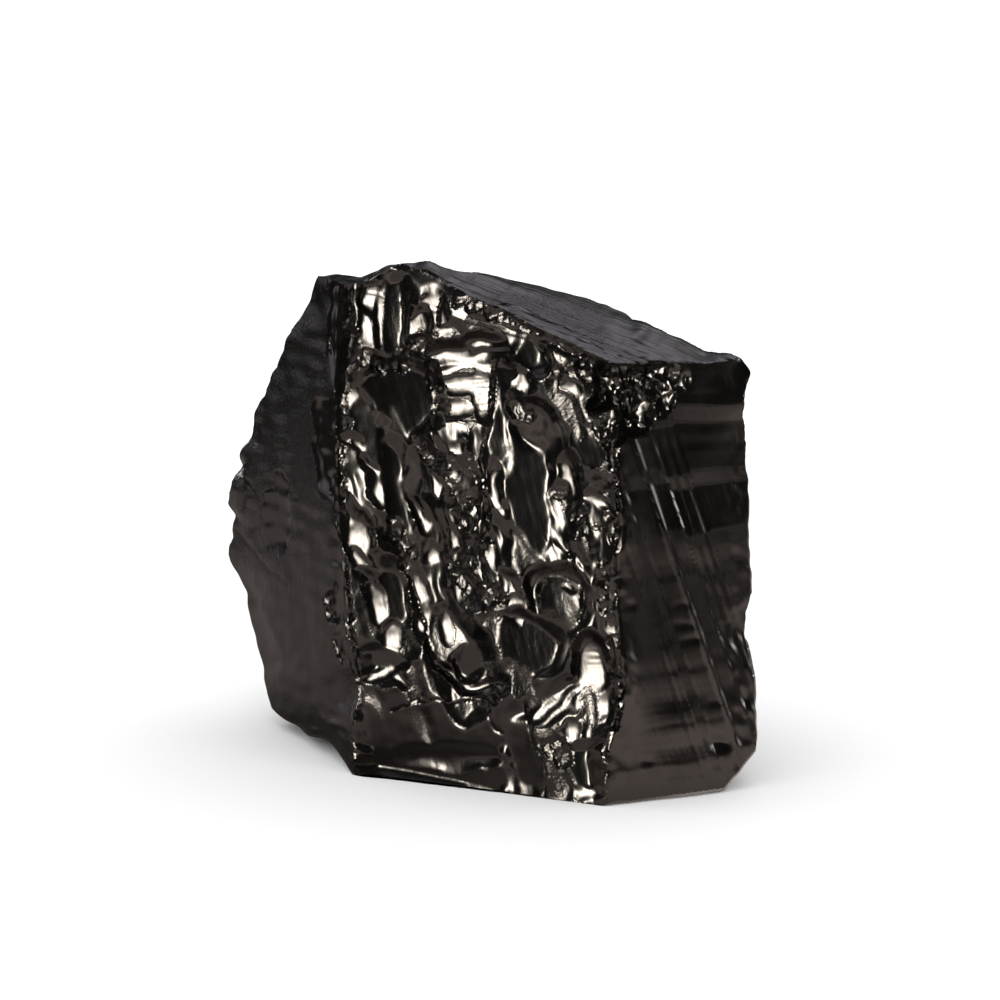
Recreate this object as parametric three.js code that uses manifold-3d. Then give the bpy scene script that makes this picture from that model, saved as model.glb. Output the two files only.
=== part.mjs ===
// A hand-sized chunk of shungite: one broken, glassy black stone that stands on a flat base.
// Millimetres, +Z up. The origin is at the middle of the base's bounding rectangle, on the ground.
//
// The stone is the hull of a few named corners. The shell-shaped hollows that its
// fractures left are scooped out of the hull's faces with stretched balls.

import * as THREE from 'three';
import { ConvexGeometry } from 'three/addons/geometries/ConvexGeometry.js';
import { mergeVertices } from 'three/addons/utils/BufferGeometryUtils.js';
import Module from 'manifold-3d';

const wasm = await Module();
wasm.setup();

// ---------------------------------------------------------------- driving dimensions

// How finely the ball that scoops each hollow is divided.
const BALL_DETAIL = 5;

// How many of its own depths a hollow's ball reaches from its middle into the stone.
const BALL_DEPTHS = 5;

// The corners of the unbroken chunk, from the ground up.
const CORNERS = {
  frontRightFoot: [11.5, -21.6, 0],
  rightFoot: [22.6, -15.7, 0],
  backRightFoot: [21.5, 2, 0],
  backFootRight: [12, 16, 0],
  backFootMiddle: [0, 20, 0],
  backFootLeft: [-14, 17, 0],
  leftHeel: [-17.5, 4, 0],
  frontLeftFoot: [-12.3, -10, 0],
  leftFoot: [-20.9, 9.7, 1.7],

  rightEdgeFoot: [25.5, -13.9, 3.3],
  rightEdgeLow: [25.6, -13.4, 8.3],
  frontLeftShin: [-13.1, -8.1, 16.6],
  frontLeftBulge: [-14.1, -6.2, 31.6],
  leftBulgeLow: [-25.6, 16.7, 15.8],
  leftBulgeHigh: [-25.6, 16.7, 22],
  leftCheek: [-21, 9.2, 34.2],
  leftBrow: [-19, 5.7, 39],

  backHipLeft: [-12, 21.6, 18],
  backHipMiddle: [3, 21.6, 19],
  backHipRight: [14, 17, 15],
  backRightLow: [24, 3, 11],
  backRightHigh: [22.5, 0, 33],
  shoulderLeft: [-11, 8, 41.5],
  shoulderMiddle: [2, 9, 40],
  shoulderRight: [13, 4, 38.5],

  topLeft: [-15.8, -0.3, 46.3],
  topFrontLeft: [-13.1, -5.3, 46.4],
  topFrontRight: [11.8, -17.9, 41.3],
  topRightTip: [24.4, -11.4, 40.1],
  peak: [-7.9, -5.8, 48.4],
  crest: [-2.6, -3.8, 47.8],
  rimLeft: [4.2, -2.8, 46],
  rimMiddle: [9.8, -3.3, 44.7],
  rimRight: [13.6, -5.3, 43.5],
};

// Three corners on each of the chunk's big faces.
const FACES = {
  front: ['frontLeftFoot', 'frontRightFoot', 'topFrontRight'],
  right: ['frontRightFoot', 'rightFoot', 'topRightTip'],
  rightSide: ['topRightTip', 'rightEdgeLow', 'backRightLow'],
  left: ['frontLeftFoot', 'frontLeftBulge', 'leftBulgeHigh'],
  leftRear: ['leftBulgeLow', 'leftBulgeHigh', 'backHipLeft'],
  top: ['topFrontRight', 'topRightTip', 'crest'],
  backRight: ['backRightHigh', 'backHipRight', 'backRightLow'],
  backRightHigh: ['shoulderRight', 'backRightHigh', 'backHipRight'],
  back: ['shoulderMiddle', 'backHipMiddle', 'backHipLeft'],
  backHigh: ['crest', 'shoulderMiddle', 'shoulderLeft'],
  backLow: ['backHipMiddle', 'backHipLeft', 'backFootMiddle'],
  backLowRight: ['backHipRight', 'backHipMiddle', 'backFootRight'],
};

// Every hollow of each face:
//   at     about where the middle of the hollow is; it is moved straight onto the face
//   rim    half the rim's width and half its height, where the hollow cuts a flat face
//   depth  how far the hollow goes into the stone at its middle
//   turn   degrees the hollow is turned on its face
const HOLLOWS = {
  front: [
    { at: [-10.5, -7, 43.5], rim: [2.4, 3.6], depth: 0.7, turn: 0 },
    { at: [-5.4, -9, 44], rim: [3.6, 3], depth: 0.6, turn: -12 },
    { at: [0.5, -12, 42.7], rim: [3.4, 3.2], depth: 1.1, turn: 20 },
    { at: [6.2, -15, 41], rim: [3.4, 2.4], depth: 0.6, turn: -20 },
    { at: [-8.6, -8, 35.3], rim: [4.9, 3.7], depth: 2, turn: 8 },
    { at: [-2.6, -11, 37.6], rim: [3.4, 3], depth: 0.8, turn: 0 },
    { at: [1.6, -13, 36.4], rim: [2.4, 4.8], depth: 0.7, turn: 0 },
    { at: [5.9, -15, 36.5], rim: [3, 3.8], depth: 0.9, turn: 8 },
    { at: [9.4, -17, 33.4], rim: [2.6, 4.6], depth: 0.9, turn: -12 },
    { at: [-3, -11, 32.4], rim: [3.4, 3.4], depth: 1, turn: 0 },
    { at: [-8.2, -9, 27.2], rim: [2, 6], depth: 1.3, turn: 6 },
    { at: [-12.4, -8, 26], rim: [2.6, 5], depth: 0.8, turn: 0 },
    { at: [-4.2, -11, 25.6], rim: [3.2, 4.8], depth: 1, turn: 10 },
    { at: [3.4, -15, 29.2], rim: [3.4, 5.6], depth: 1.7, turn: -8 },
    { at: [9, -18, 25.4], rim: [2.8, 4.8], depth: 0.9, turn: 0 },
    { at: [-9.8, -10, 15.8], rim: [2.4, 8.2], depth: 1.1, turn: 6 },
    { at: [-5.4, -12, 18.6], rim: [2.6, 6], depth: 0.9, turn: 8 },
    { at: [-0.8, -14, 19.8], rim: [3.2, 4.2], depth: 0.8, turn: 0 },
    { at: [3.9, -16, 20.4], rim: [3, 4.6], depth: 0.9, turn: -6 },
    { at: [10.2, -19, 16], rim: [2.6, 4.8], depth: 0.9, turn: 0 },
    { at: [-3.6, -13, 12.6], rim: [4.2, 3.6], depth: 1, turn: 0 },
    { at: [2.2, -16, 12.8], rim: [4.2, 4.2], depth: 1.4, turn: 0 },
    { at: [8, -18, 11.6], rim: [3.4, 3.8], depth: 0.9, turn: 12 },
    { at: [-6.2, -12, 7.2], rim: [6.8, 4.2], depth: 1.4, turn: -6 },
    { at: [-3.1, -14, 2.4], rim: [6.4, 2.2], depth: 1, turn: -4 },
    { at: [2.8, -17, 4.9], rim: [2.4, 5.2], depth: 0.8, turn: 6 },
    { at: [8.2, -19, 5], rim: [3.6, 4.6], depth: 1.1, turn: 10 },
  ],
  right: [
    { at: [14.4, -17, 38], rim: [3.4, 3.4], depth: 0.6, turn: 0 },
    { at: [20.4, -16, 2], rim: [5, 2.2], depth: 0.4, turn: 8 },
  ],
  rightSide: [
    { at: [24.6, -8, 33.6], rim: [4.6, 5], depth: 0.6, turn: 10 },
    { at: [25, -5, 24], rim: [6.6, 6.2], depth: 1.2, turn: -15 },
    { at: [25.2, -8, 13.6], rim: [5.2, 6], depth: 1, turn: 20 },
    { at: [24.6, 1, 31], rim: [5, 6], depth: 1.1, turn: 0 },
    { at: [24.4, -3, 4.6], rim: [6.4, 3.6], depth: 0.9, turn: 0 },
  ],
  left: [
    { at: [-18, 1.6, 26.4], rim: [2.8, 8.6], depth: 0.6, turn: 6 },
  ],
  leftRear: [
    { at: [-20.6, 18, 24.6], rim: [5.6, 6], depth: 1.3, turn: 10 },
    { at: [-20.4, 18, 9.4], rim: [5.6, 5.4], depth: 1.2, turn: -14 },
  ],
  top: [
    { at: [-5.4, -6, 47.6], rim: [3.4, 2], depth: 0.3, turn: 30 },
    { at: [12, -9, 43.4], rim: [7.4, 3], depth: 0.25, turn: -30 },
  ],
  backHigh: [
    { at: [-9, 3, 44.4], rim: [5.6, 5], depth: 0.9, turn: -8 },
    { at: [1.6, 3, 44], rim: [5.8, 4.8], depth: 1, turn: 12 },
    { at: [9.6, 2, 41.6], rim: [4.4, 4.6], depth: 0.8, turn: 0 },
  ],
  back: [
    { at: [-6.6, 13, 34.4], rim: [6.8, 6.6], depth: 1.6, turn: -8 },
    { at: [-13.6, 15, 29.6], rim: [5.2, 6.6], depth: 1.3, turn: 10 },
    { at: [2.4, 14, 31.4], rim: [6.6, 7], depth: 1.5, turn: 16 },
    { at: [-5, 18, 24.6], rim: [7.2, 4.6], depth: 1.1, turn: 0 },
    { at: [-16.4, 10, 36.8], rim: [4.6, 5.4], depth: 1, turn: 0 },
  ],
  backRightHigh: [
    { at: [16.4, 5, 33.6], rim: [5.8, 5.6], depth: 1.3, turn: 14 },
    { at: [10.6, 13, 26.4], rim: [5.6, 6.6], depth: 1.3, turn: -10 },
    { at: [18.4, 8, 23.8], rim: [5, 6.2], depth: 1.2, turn: 0 },
  ],
  backRight: [
    { at: [19, 9, 13.6], rim: [5.8, 5.6], depth: 1.2, turn: 0 },
    { at: [18.6, 8, 4], rim: [6, 3.6], depth: 0.9, turn: 8 },
  ],
  backLow: [
    { at: [-9, 20.6, 11.4], rim: [6, 5.4], depth: 1.2, turn: 12 },
    { at: [-2, 20.8, 5], rim: [5.6, 4.2], depth: 1, turn: -6 },
    { at: [-12.6, 18.6, 3.8], rim: [4.4, 3.6], depth: 0.8, turn: 0 },
  ],
  backLowRight: [
    { at: [4.6, 20.4, 12], rim: [5.4, 5.4], depth: 1.2, turn: -10 },
    { at: [10.6, 17.8, 6.2], rim: [5.4, 5.2], depth: 1.2, turn: 8 },
  ],
};

const SHUNGITE = new THREE.MeshStandardMaterial({ color: 0x191715, roughness: 0.22, metalness: 0.15 });

// ---------------------------------------------------------------- making solids

// Turns a closed three.js geometry into a solid that can be cut.
function toSolid(geometry) {
  const bare = geometry.clone();
  bare.deleteAttribute('normal');
  bare.deleteAttribute('uv');
  const merged = mergeVertices(bare, 1e-4);
  const mesh = new wasm.Mesh({
    numProp: 3,
    vertProperties: new Float32Array(merged.attributes.position.array),
    triVerts: new Uint32Array(merged.index.array),
  });
  return new wasm.Manifold(mesh);
}

// Turns a cut solid back into a three.js geometry.
function toGeometry(solid) {
  const mesh = solid.getMesh();
  const geometry = new THREE.BufferGeometry();
  geometry.setAttribute('position', new THREE.BufferAttribute(mesh.vertProperties, 3));
  geometry.setIndex(new THREE.BufferAttribute(mesh.triVerts, 1));
  geometry.computeVertexNormals();
  return geometry;
}

// ---------------------------------------------------------------- the unbroken chunk

function cornerPoint(name) {
  return new THREE.Vector3(...CORNERS[name]);
}

function chunk() {
  return new ConvexGeometry(Object.keys(CORNERS).map(cornerPoint));
}

// The plane of one big face, looking away from the middle of the chunk.
function facePlane(name) {
  const plane = new THREE.Plane().setFromCoplanarPoints(...FACES[name].map(cornerPoint));
  const middle = new THREE.Box3().setFromPoints(Object.keys(CORNERS).map(cornerPoint))
    .getCenter(new THREE.Vector3());
  return plane.distanceToPoint(middle) > 0 ? plane.negate() : plane;
}

// ---------------------------------------------------------------- the hollows

// The stretched ball that scoops one hollow out of a face. Its own Z axis looks out of the face.
function ball(plane, { at, rim, depth, turn }) {
  const inward = BALL_DEPTHS * depth;
  const rimShare = Math.sqrt(1 - (1 - 1 / BALL_DEPTHS) ** 2);
  const outward = plane.normal;
  const level = new THREE.Vector3(0, 0, 1).cross(outward).normalize();
  const upward = outward.clone().cross(level);
  const middle = plane.projectPoint(new THREE.Vector3(...at), new THREE.Vector3());
  middle.addScaledVector(outward, inward - depth);

  const geometry = new THREE.IcosahedronGeometry(1, BALL_DETAIL);
  geometry.scale(rim[0] / rimShare, rim[1] / rimShare, inward);
  geometry.rotateZ(THREE.MathUtils.degToRad(turn));
  geometry.applyMatrix4(new THREE.Matrix4().makeBasis(level, upward, outward).setPosition(middle));
  return geometry;
}

// ---------------------------------------------------------------- the stone

function stone() {
  let solid = toSolid(chunk());
  for (const [face, hollows] of Object.entries(HOLLOWS)) {
    for (const hollow of hollows) {
      solid = solid.subtract(toSolid(ball(facePlane(face), hollow)));
    }
  }
  const mesh = new THREE.Mesh(toGeometry(solid), SHUNGITE);
  mesh.name = 'stone';
  return mesh;
}

const specimen = new THREE.Group();
specimen.add(stone());

export default specimen;
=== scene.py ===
from collections import namedtuple
from itertools import cycle, islice
from math import atan2, ceil, cos, hypot, pi, radians, sin, sqrt

import bmesh
import bpy
import numpy as np
from mathutils import Matrix, Vector
from mathutils.geometry import delaunay_2d_cdt


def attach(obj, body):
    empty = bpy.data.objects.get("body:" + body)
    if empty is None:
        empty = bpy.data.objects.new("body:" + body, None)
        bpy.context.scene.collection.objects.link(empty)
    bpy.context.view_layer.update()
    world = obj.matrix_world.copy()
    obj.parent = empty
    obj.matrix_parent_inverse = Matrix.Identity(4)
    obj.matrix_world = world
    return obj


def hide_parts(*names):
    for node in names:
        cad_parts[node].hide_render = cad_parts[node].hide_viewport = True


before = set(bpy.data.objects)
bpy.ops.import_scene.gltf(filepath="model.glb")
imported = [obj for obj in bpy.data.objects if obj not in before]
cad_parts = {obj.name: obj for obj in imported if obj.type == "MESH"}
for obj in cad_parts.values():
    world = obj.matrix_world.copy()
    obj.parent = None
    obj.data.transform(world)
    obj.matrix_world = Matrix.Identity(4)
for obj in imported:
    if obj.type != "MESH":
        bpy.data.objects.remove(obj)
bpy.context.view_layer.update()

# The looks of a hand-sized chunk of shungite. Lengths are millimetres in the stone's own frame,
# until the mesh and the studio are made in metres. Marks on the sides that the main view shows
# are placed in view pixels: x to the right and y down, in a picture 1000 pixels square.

MM = 0.001

# --- the main view

PICTURE = 1000
FRAME_WIDTH = 93.0
PIXEL = FRAME_WIDTH / PICTURE
EYE_DISTANCE = 600.0
EYE_ELEVATION = radians(12)
AIM = np.array([1.5, -16.3, 28.0])
RIGHTWARD = np.array([1.0, 0.0, 0.0])
UPWARD = np.array([0.0, sin(EYE_ELEVATION), cos(EYE_ELEVATION)])
FORWARD = np.array([0.0, cos(EYE_ELEVATION), -sin(EYE_ELEVATION)])
EYE = AIM - EYE_DISTANCE * FORWARD


def to_pixels(points):
    """Where points lie in the main view, and how deep, all in pixels."""
    seen = points - EYE
    depth = seen @ FORWARD
    scale = EYE_DISTANCE / PIXEL / depth
    x = PICTURE / 2 + seen @ RIGHTWARD * scale
    y = PICTURE / 2 - seen @ UPWARD * scale
    return x, y, depth / PIXEL


def rays(x, y):
    """The main view's rays through pixels, each one unit long in depth."""
    slant = PIXEL / EYE_DISTANCE
    across = ((x - PICTURE / 2) * slant)[:, None] * RIGHTWARD
    down = ((y - PICTURE / 2) * slant)[:, None] * UPWARD
    return FORWARD + across - down


def from_pixels(x, y, depth):
    return EYE + (depth * PIXEL)[:, None] * rays(x, y)


# --- the unbroken chunk

CORNERS = {
    "front_right_foot": (11.5, -21.6, 0),
    "right_foot": (22.6, -15.7, 0),
    "back_right_foot": (21.5, 2, 0),
    "back_foot_right": (12, 16, 0),
    "back_foot_middle": (0, 20, 0),
    "back_foot_left": (-14, 17, 0),
    "left_heel": (-17.5, 4, 0),
    "front_left_foot": (-12.3, -10, 0),
    "left_foot": (-20.9, 9.7, 1.7),
    "right_edge_foot": (25.5, -13.9, 3.3),
    "right_edge_low": (25.6, -13.4, 8.3),
    "front_left_shin": (-13.1, -8.1, 16.6),
    "front_left_bulge": (-14.1, -6.2, 31.6),
    "left_bulge_low": (-25.6, 16.7, 15.8),
    "left_bulge_high": (-25.6, 16.7, 22),
    "left_cheek": (-21, 9.2, 34.2),
    "left_brow": (-19, 5.7, 39),
    "back_hip_left": (-12, 21.6, 18),
    "back_hip_middle": (3, 21.6, 19),
    "back_hip_right": (14, 17, 15),
    "back_right_low": (24, 3, 11),
    "back_right_high": (22.5, 0, 33),
    "shoulder_left": (-11, 8, 41.5),
    "shoulder_middle": (2, 9, 40),
    "shoulder_right": (13, 4, 38.5),
    "top_left": (-15.8, -0.3, 46.3),
    "top_front_left": (-13.1, -5.3, 46.4),
    "top_front_right": (11.8, -17.9, 41.3),
    "top_right_tip": (24.4, -11.4, 40.1),
    "peak": (-7.9, -5.8, 48.4),
    "crest": (-2.6, -3.8, 47.8),
    "rim_left": (4.2, -2.8, 46),
    "rim_middle": (9.8, -3.3, 44.7),
    "rim_right": (13.6, -5.3, 43.5),
}

# Three corners on each face that has hollows.
FACES = {
    "right_side": ("top_right_tip", "right_edge_low", "back_right_low"),
    "left_rear": ("left_bulge_low", "left_bulge_high", "back_hip_left"),
    "back_right": ("back_right_high", "back_hip_right", "back_right_low"),
    "back_right_high": ("shoulder_right", "back_right_high", "back_hip_right"),
    "back": ("shoulder_middle", "back_hip_middle", "back_hip_left"),
    "back_high": ("crest", "shoulder_middle", "shoulder_left"),
    "back_low": ("back_hip_middle", "back_hip_left", "back_foot_middle"),
    "back_low_right": ("back_hip_right", "back_hip_middle", "back_foot_right"),
}

# Hollows of the big fractures: about where, half the rim's width and height, depth, and turn in degrees.
HOLLOWS = {
    "right_side": [
        ((24.6, -8, 33.6), (4.6, 5), 0.6, 10),
        ((25, -5, 24), (6.6, 6.2), 1.2, -15),
        ((25.2, -8, 13.6), (5.2, 6), 1, 20),
        ((24.6, 1, 31), (5, 6), 1.1, 0),
        ((24.4, -3, 4.6), (6.4, 3.6), 0.9, 0),
    ],
    "left_rear": [
        ((-20.6, 18, 24.6), (5.6, 6), 1.3, 10),
        ((-20.4, 18, 9.4), (5.6, 5.4), 1.2, -14),
    ],
    "back_high": [
        ((-9, 3, 44.4), (5.6, 5), 0.9, -8),
        ((1.6, 3, 44), (5.8, 4.8), 1, 12),
        ((9.6, 2, 41.6), (4.4, 4.6), 0.8, 0),
    ],
    "back": [
        ((-6.6, 13, 34.4), (6.8, 6.6), 1.6, -8),
        ((-13.6, 15, 29.6), (5.2, 6.6), 1.3, 10),
        ((2.4, 14, 31.4), (6.6, 7), 1.5, 16),
        ((-5, 18, 24.6), (7.2, 4.6), 1.1, 0),
        ((-16.4, 10, 36.8), (4.6, 5.4), 1, 0),
    ],
    "back_right_high": [
        ((16.4, 5, 33.6), (5.8, 5.6), 1.3, 14),
        ((10.6, 13, 26.4), (5.6, 6.6), 1.3, -10),
        ((18.4, 8, 23.8), (5, 6.2), 1.2, 0),
    ],
    "back_right": [
        ((19, 9, 13.6), (5.8, 5.6), 1.2, 0),
        ((18.6, 8, 4), (6, 3.6), 0.9, 8),
    ],
    "back_low": [
        ((-9, 20.6, 11.4), (6, 5.4), 1.2, 12),
        ((-2, 20.8, 5), (5.6, 4.2), 1, -6),
        ((-12.6, 18.6, 3.8), (4.4, 3.6), 0.8, 0),
    ],
    "back_low_right": [
        ((4.6, 20.4, 12), (5.4, 5.4), 1.2, -10),
        ((10.6, 17.8, 6.2), (5.4, 5.2), 1.2, 8),
    ],
}

# How far apart the fine mesh's points are on each kind of side.
STEP_FRONT = 0.175
STEP_RIGHT = 0.195
STEP_TOP = 0.25
STEP_LEFT = 0.29
STEP_HIDDEN = 0.55
STEP_BASE = 3.0
# Its triangles are even, so their rows are this share of a step apart. Inner points keep off the rim.
ROW_HEIGHT = sqrt(0.75)
RIM_CLEARANCE = 0.55
# How Blender's triangulation is asked for what is inside an outline, and when points count as one.
INSIDE_ONLY = 1
SAME_POINT = 1e-6
# How steeply a side's outward normal points down, up, or towards the main view's eye.
LOOKS_DOWN = -0.99
LOOKS_UP = 0.85
FACES_EYE = 0.7
GRAZES_EYE = 0.05

# A place well inside the chunk.
MIDDLE = np.array([0.0, 0.0, 20.0])


def hull():
    """The chunk's hull as points, triangles, and each triangle's outward normal."""
    mesh = bmesh.new()
    for corner in CORNERS.values():
        mesh.verts.new(corner)
    bmesh.ops.convex_hull(mesh, input=mesh.verts[:])
    loose = [v for v in mesh.verts if not v.link_faces]
    bmesh.ops.delete(mesh, geom=loose, context="VERTS")
    mesh.verts.index_update()
    points = np.array([v.co for v in mesh.verts])
    triangles = np.array([[v.index for v in f.verts] for f in mesh.faces])
    mesh.free()
    a, b, c = (points[triangles[:, i]] for i in range(3))
    normals = np.cross(b - a, c - a)
    normals /= np.linalg.norm(normals, axis=1)[:, None]
    inward = ((a - MIDDLE) * normals).sum(axis=1) < 0
    triangles[inward] = triangles[inward][:, ::-1]
    normals[inward] *= -1
    return points, triangles, normals


def step_for(normal):
    """The spacing of the fine mesh on a side that looks in this direction."""
    if normal[2] < LOOKS_DOWN:
        return STEP_BASE
    if normal[2] > LOOKS_UP and normal[1] < 0:
        return STEP_TOP
    facing = -normal @ FORWARD
    if facing > FACES_EYE:
        return STEP_FRONT if normal[0] < 0 else STEP_RIGHT
    if facing > GRAZES_EYE:
        return STEP_LEFT
    return STEP_HIDDEN


def fine_mesh(points, triangles, normals):
    """Fills each triangle of the hull with small, nearly even triangles."""
    steps = [step_for(normal) for normal in normals]
    edge_step = {}
    for triangle, step in zip(triangles, steps):
        for i in range(3):
            edge = tuple(sorted((triangle[i], triangle[i - 1])))
            edge_step[edge] = min(step, edge_step.get(edge, step))
    found = list(points)
    chains = {}
    for (a, b), step in edge_step.items():
        count = ceil(np.linalg.norm(points[b] - points[a]) / step)
        chain = [a]
        for i in range(1, count):
            chain.append(len(found))
            found.append(points[a] + (points[b] - points[a]) * i / count)
        chains[a, b] = chain + [b]
    small = []
    for triangle, normal, step in zip(triangles, normals, steps):
        small += fill(triangle, normal, step, points, chains, found)
    return np.array(found), np.array(small)


def fill(triangle, normal, step, points, chains, found):
    """Fills one triangle between the points already on its edges. Adds the new points to found."""
    rim = []
    for i in range(3):
        a, b = triangle[i], triangle[(i + 1) % 3]
        chain = chains[(a, b)] if (a, b) in chains else chains[(b, a)][::-1]
        rim += chain[:-1]
    origin = points[triangle[0]]
    east = points[triangle[1]] - origin
    east = east / np.linalg.norm(east)
    north = np.cross(normal, east)
    flat = np.array([[(found[i] - origin) @ east, (found[i] - origin) @ north] for i in rim])
    corners = flat[[rim.index(i) for i in triangle]]
    low, high = corners.min(axis=0), corners.max(axis=0)
    rows = np.arange(low[1], high[1], step * ROW_HEIGHT)
    columns = np.arange(low[0], high[0], step)
    grid_x, grid_y = np.meshgrid(columns, rows)
    grid_x[1::2] += step / 2
    grid = np.column_stack([grid_x.ravel(), grid_y.ravel()])
    clear = np.full(len(grid), np.inf)
    for i in range(3):
        a, b = corners[i], corners[(i + 1) % 3]
        side = (b - a) / np.linalg.norm(b - a)
        offset = grid - a
        clear = np.minimum(clear, side[0] * offset[:, 1] - side[1] * offset[:, 0])
    inner = grid[clear > step * RIM_CLEARANCE]
    first_new = len(found)
    found.extend(origin + inner[:, :1] * east + inner[:, 1:] * north)
    numbers = rim + list(range(first_new, first_new + len(inner)))
    all_flat = [Vector(p) for p in np.concatenate([flat, inner])]
    outline = [(i, (i + 1) % len(rim)) for i in range(len(rim))]
    _, _, faces, origins, *_ = delaunay_2d_cdt(all_flat, outline, [], INSIDE_ONLY, SAME_POINT)
    sources = [numbers[same[0]] for same in origins]
    return [[sources[i] for i in face] for face in faces]


# --- shared helpers for relief

# A random field adds up this many waves, whose lengths are between these shares of the one asked for.
WAVE_COUNT = 14
WAVE_LENGTHS = (0.6, 1.6)


def waves(places, length, seed):
    """A smooth random field, about -1 to 1, made of sine waves of about this length."""
    draw = np.random.default_rng(seed)
    directions = draw.normal(size=(WAVE_COUNT, places.shape[1]))
    directions /= np.linalg.norm(directions, axis=1)[:, None]
    lengths = length * draw.uniform(*WAVE_LENGTHS, WAVE_COUNT)
    phases = draw.uniform(0, 2 * pi, WAVE_COUNT)
    swings = np.sin(places @ (directions / lengths[:, None] * 2 * pi).T + phases)
    return swings.sum(axis=1) / sqrt(2 * WAVE_COUNT)


def layered_waves(places, layers):
    """Adds up random fields. Each layer has a strength, a length and a seed."""
    return sum(strength * waves(places, length, seed) for strength, length, seed in layers)


def smooth_step(value, start, end):
    """0 before the start of a span, 1 past its end, and smooth between. A span may run downwards."""
    share = np.clip((value - start) / (end - start), 0, 1)
    return share * share * (3 - 2 * share)


# --- hollows of the big fractures

# How many of its own depths a hollow's stretched ball reaches from its middle into the stone.
BALL_DEPTHS = 5
RIM_SHARE = sqrt(1 - (1 - 1 / BALL_DEPTHS) ** 2)


def ball_axes(outward, turn):
    """Level, upward and outward directions of a hollow, turned on its face."""
    level = np.cross((0.0, 0.0, 1.0), outward)
    level /= np.linalg.norm(level)
    upward = np.cross(outward, level)
    angle = radians(turn)
    return np.array([
        cos(angle) * level + sin(angle) * upward,
        cos(angle) * upward - sin(angle) * level,
        outward,
    ])


def scoop(places, offsets, at, outward, rim, depth, turn):
    """Moves the points inside one hollow's ball towards the stone's middle, onto the ball.

    The offsets shift where each point is tested, so that rims are irregular."""
    axes = ball_axes(outward, turn)
    reach = np.array([rim[0] / RIM_SHARE, rim[1] / RIM_SHARE, depth * BALL_DEPTHS])
    centre = at + outward * (depth * BALL_DEPTHS - depth)
    local = (places + offsets - centre) @ axes.T / reach
    inside = np.flatnonzero((local ** 2).sum(axis=1) < 1)
    inward = MIDDLE - places[inside]
    inward /= np.linalg.norm(inward, axis=1)[:, None]
    start = local[inside]
    heading = inward @ axes.T / reach
    a = (heading ** 2).sum(axis=1)
    b = (heading * start).sum(axis=1)
    c = (start ** 2).sum(axis=1) - 1
    travel = (np.sqrt(b * b - a * c) - b) / a
    places[inside] += travel[:, None] * inward


def scoop_hollows(places, offsets):
    for face, hollows in HOLLOWS.items():
        a, b, c = (np.array(CORNERS[name], float) for name in FACES[face])
        outward = np.cross(b - a, c - a)
        outward /= np.linalg.norm(outward)
        if (a - MIDDLE) @ outward < 0:
            outward = -outward
        for at, rim, depth, turn in hollows:
            on_face = np.array(at, float)
            on_face -= ((on_face - a) @ outward) * outward
            scoop(places, offsets, on_face, outward, rim, depth, turn)


# Smaller chips that random knocks left on the sides away from the main view.
KNOCKS = 150
KNOCK_RIM = (1.6, 4.6)
KNOCK_STRETCH = (0.6, 1.8)
KNOCK_DEPTH_SHARE = (0.05, 0.11)
KNOCK_SEED = 21


def scoop_knocks(places, offsets, outwards, hidden):
    draw = np.random.default_rng(KNOCK_SEED)
    chosen = draw.choice(np.flatnonzero(hidden), KNOCKS, replace=False)
    for i in chosen:
        rim = draw.uniform(*KNOCK_RIM)
        stretch = draw.uniform(*KNOCK_STRETCH)
        depth = rim * draw.uniform(*KNOCK_DEPTH_SHARE)
        turn = draw.uniform(0, 180)
        at = places[i] + offsets[i]
        scoop(places, offsets, at, outwards[i], (rim, rim * stretch), depth, turn)


# --- the outline in the main view

# Where the true outline and edges stray from the plain hull's: place, push right and down, and radius.
NUDGES = [
    (234, 465, 9, 0, 8), (225, 513, 5, 0, 9), (227, 535, 5, 0, 22), (246, 434, 5, 0, 14),
    (234, 584, 9, 0, 18), (246, 602, 6, 0, 14), (260, 662, 5, 0, 18), (247, 630, 6, 0, 20),
    (306, 305, 5, 0, 14), (362, 270, 0, 8, 14), (432, 268, 0, -6, 16), (648, 326, 0, -3, 20),
    (702, 344, 0, 4, 16), (740, 362, 0, -4, 14), (748, 360, -6, 0, 7), (741, 405, 7, 0, 18),
    (748, 374, 5, 0, 8), (744, 460, -3, 0, 24), (746, 540, -2, 0, 30), (290, 338, -2, 0, 12),
    (753, 632, -8, 0, 26), (330, 752, 0, -15, 22), (298, 732, 0, -6, 14), (372, 778, 0, 4, 14),
    (366, 782, -6, 0, 12), (420, 784, 0, 2, 44), (556, 802, 0, 5, 24), (754, 738, 2, 0, 20),
    (610, 520, 6, 0, 40), (608, 660, 8, 0, 26), (608, 700, 9, 0, 28), (607, 755, -6, 0, 22),
    (607, 800, -5, 0, 25), (351, 692, 9, 0, 22),
]

# Random waves to the right and down.
OUTLINE_WAVES = ((0.7, 24, 11), (0.7, 24, 12))
# The right face stays plain inside its edges, so that its bands mirror the table evenly. The waves
# fade out over these spans at its left, right and upper edges.
CALM_LEFT = (622, 640)
CALM_RIGHT = (736, 728)
CALM_TOP = (372, 384)


def blot(x, y, at_x, at_y, half_width, half_height):
    """1 at a place, and smoothly less around it."""
    return np.exp(-((x - at_x) / half_width) ** 2 - ((y - at_y) / half_height) ** 2)


def outline_shift(x, y):
    """How far right and down each point is pushed in the main view."""
    places = np.column_stack([x, y])
    calm = smooth_step(x, *CALM_LEFT) * smooth_step(x, *CALM_RIGHT) * smooth_step(y, *CALM_TOP)
    right, down = ((1 - calm) * layered_waves(places, [layer]) for layer in OUTLINE_WAVES)
    for at_x, at_y, push_right, push_down, radius in NUDGES:
        fade = blot(x, y, at_x, at_y, radius, radius)
        right += push_right * fade
        down += push_down * fade
    return right, down


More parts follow.
